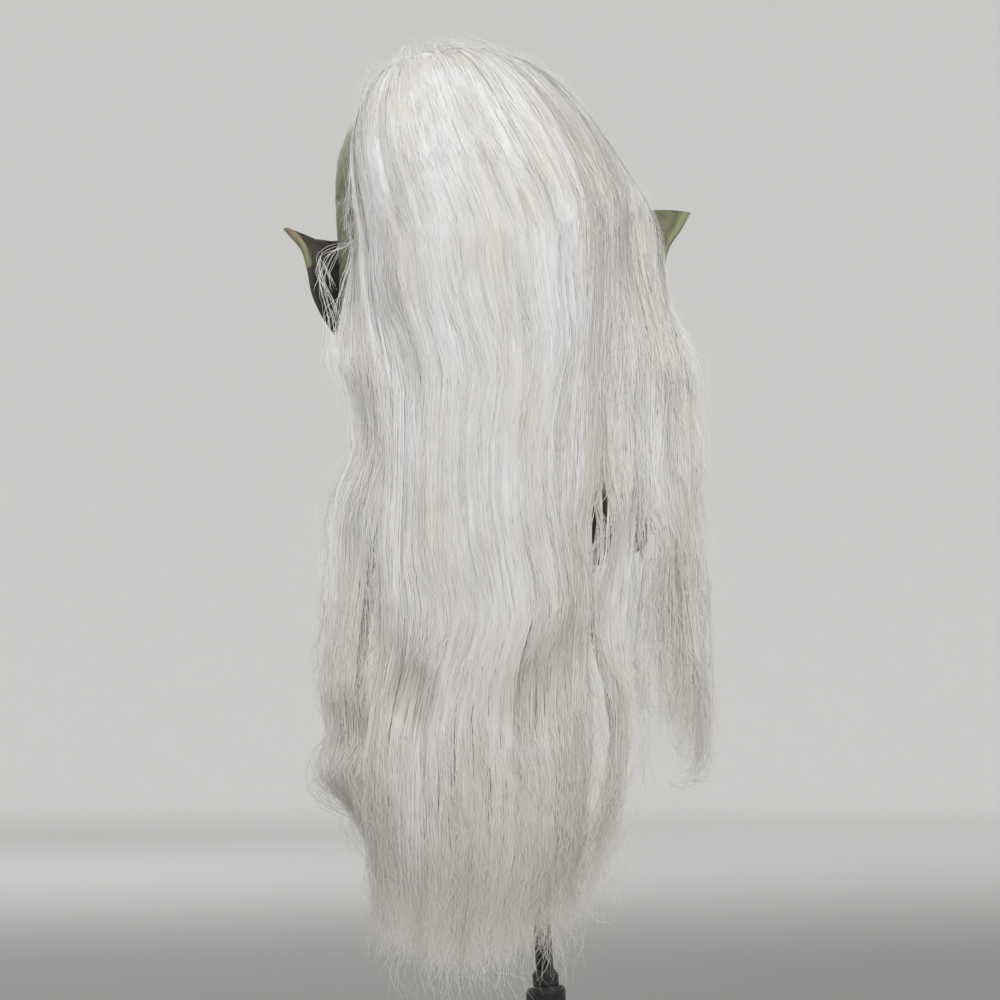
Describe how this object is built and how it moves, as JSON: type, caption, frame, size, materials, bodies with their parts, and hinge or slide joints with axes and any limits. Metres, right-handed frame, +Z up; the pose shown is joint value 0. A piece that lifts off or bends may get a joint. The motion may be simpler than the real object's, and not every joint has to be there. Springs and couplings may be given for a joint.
{
  "type": "wizard mask",
  "caption": "Pull-over latex wizard mask with pointed ears and very long straight white hair, standing upright on its black post stand.",
  "frame": {"origin": "centre of the stand base's underside, on the table", "axes": "+Z up; the mask's face looks along -Y, and its hair falls down the +Y side; +X is at the left of the view from behind"},
  "size_m": [0.3207, 0.2703, 0.8547],
  "materials": {
    "latex": "matt moulded latex, hand-painted olive green and purple-grey with dark speckle",
    "hair": "long straight synthetic fibre, white to cream, soft sheen",
    "stand_metal": "satin black powder coat",
    "stand_plastic": "fine-grained moulded black plastic"
  },
  "bodies": {
    "root": {"mask": "latex", "hair_left_lock": "hair", "hair_back_fall_1": "hair", "hair_back_fall_2": "hair", "hair_back_fall_3": "hair", "hair_back_fall_4": "hair", "hair_back_fall_5": "hair", "hair_right_lock_1": "hair", "hair_right_lock_2": "hair", "hair_right_lock_3": "hair", "stand_base": "stand_metal", "stand_hub": "stand_plastic", "stand_collar": "stand_plastic", "stand_post": "stand_metal", "stand_cap": "stand_plastic"}
  },
  "joints": []
}
